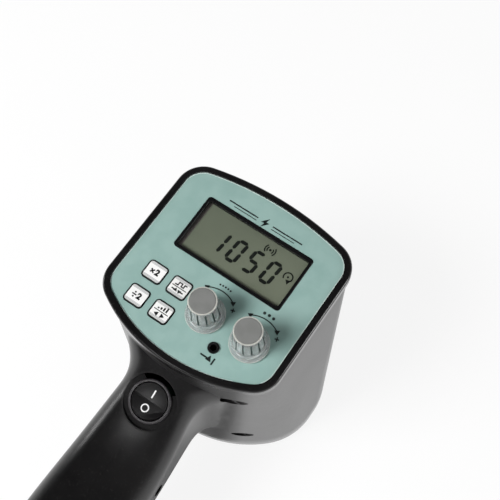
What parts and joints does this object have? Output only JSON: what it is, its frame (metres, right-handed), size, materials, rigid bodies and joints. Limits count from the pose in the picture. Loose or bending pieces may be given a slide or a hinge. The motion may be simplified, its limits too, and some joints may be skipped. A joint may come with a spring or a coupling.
{
  "type": "hand-held stroboscope",
  "caption": "Hand-held xenon stroboscope: oval lamp end, handle with a rocker switch, and a top panel with fluted speed knobs, keys and a digital display.",
  "frame": {"origin": "middle of the oval lamp opening, on the lamp bezel's front plane", "axes": "+Z out of the control panel, opposite to the light; +Y to the panel's display end, away from the handle; +X to the right of the panel"},
  "size_m": [0.13, 0.2316, 0.1518],
  "materials": {
    "housing_plastic": "satin black moulded ABS",
    "black_plastic": "semi-gloss black",
    "overlay_film": "printed teal-grey film, satin",
    "key_plastic": "printed white, satin",
    "cap_grey": "grey, satin",
    "clear_plastic": "clear",
    "knob_plastic": "clear, silvery grey",
    "display_glass": "reflective grey-green",
    "reflector_metal": "polished",
    "tube_glass": "clear quartz",
    "steel": "zinc plated",
    "brass": "turned",
    "aluminium": "satin",
    "copper": "enamelled wire",
    "board": "green glass-epoxy",
    "rubber": "matt black",
    "ceramic": "white ceramic",
    "nickel": "nickel plated",
    "ferrite": "sintered",
    "capacitor_can": "sleeved"
  },
  "bodies": {
    "housing": {"bezel_screws": "steel", "board_connectors": "black_plastic", "board_spacers": "black_plastic", "coarse_pot": "steel", "coarse_pot_nut": "nickel", "control_board": "board", "control_board_screws": "steel", "control_chip": "black_plastic", "cord_gland": "housing_plastic", "display_frame": "black_plastic", "ext_jack": "black_plastic", "fine_pot": "steel", "fine_pot_nut": "nickel", "flash_capacitor": "capacitor_can", "flash_tube": "tube_glass", "fuse": "tube_glass", "fuse_clips": "brass", "gland_nut": "black_plastic", "heat_sink": "aluminium", "housing_screws": "steel", "key_board": "board", "lamp_bezel": "housing_plastic", "lamp_lens": "clear_plastic", "lcd_glass": "display_glass", "lcd_holder": "black_plastic", "lcd_window": "clear_plastic", "left_housing": "housing_plastic", "lens_seal": "rubber", "panel_overlay": "overlay_film", "panel_plate": "housing_plastic", "power_board": "board", "power_board_screws": "steel", "power_transistor": "black_plastic", "reflector": "reflector_metal", "right_housing": "housing_plastic", "signal_ribbon": "cap_grey", "switch_body": "black_plastic", "switch_terminals": "brass", "tact_switches": "black_plastic", "terminal_block": "black_plastic", "transformer_core": "ferrite", "transformer_winding": "copper", "trigger_coil": "black_plastic", "trigger_lead": "copper", "tripod_bush": "brass", "tube_electrodes": "nickel", "tube_holder": "ceramic", "tube_leads": "copper"},
    "fine_control": {"fine_knob": "knob_plastic", "fine_knob_cap": "cap_grey", "fine_pot_shaft": "steel"},
    "coarse_control": {"coarse_knob": "knob_plastic", "coarse_knob_cap": "cap_grey", "coarse_pot_shaft": "steel"},
    "power_rocker": {"rocker": "black_plastic"},
    "double_button": {"double_key": "key_plastic"},
    "halve_button": {"halve_key": "key_plastic"},
    "trigger_button": {"trigger_key": "key_plastic"},
    "range_button": {"range_key": "key_plastic"}
  },
  "joints": [
    {"name": "fine_turn", "type": "hinge", "parent": "housing", "child": "fine_control", "pos_m": [0.0038, -0.014, 0.13], "axis": [0, 0, 1], "range_deg": [-150, 150]},
    {"name": "coarse_turn", "type": "hinge", "parent": "housing", "child": "coarse_control", "pos_m": [0.0309, -0.014, 0.13], "axis": [0, 0, 1], "range_deg": [-150, 150]},
    {"name": "rocker_tilt", "type": "hinge", "parent": "housing", "child": "power_rocker", "pos_m": [0, -0.06183, 0.09873], "axis": [1, 0, 0], "range_deg": [0, 12]},
    {"name": "double_press", "type": "slide", "parent": "housing", "child": "double_button", "axis": [0, 0, -1], "range_m": [0, 0.0003], "stiffness_N_per_m": 1500},
    {"name": "halve_press", "type": "slide", "parent": "housing", "child": "halve_button", "axis": [0, 0, -1], "range_m": [0, 0.0003], "stiffness_N_per_m": 1500},
    {"name": "trigger_press", "type": "slide", "parent": "housing", "child": "trigger_button", "axis": [0, 0, -1], "range_m": [0, 0.0003], "stiffness_N_per_m": 1500},
    {"name": "range_press", "type": "slide", "parent": "housing", "child": "range_button", "axis": [0, 0, -1], "range_m": [0, 0.0003], "stiffness_N_per_m": 1500}
  ]
}
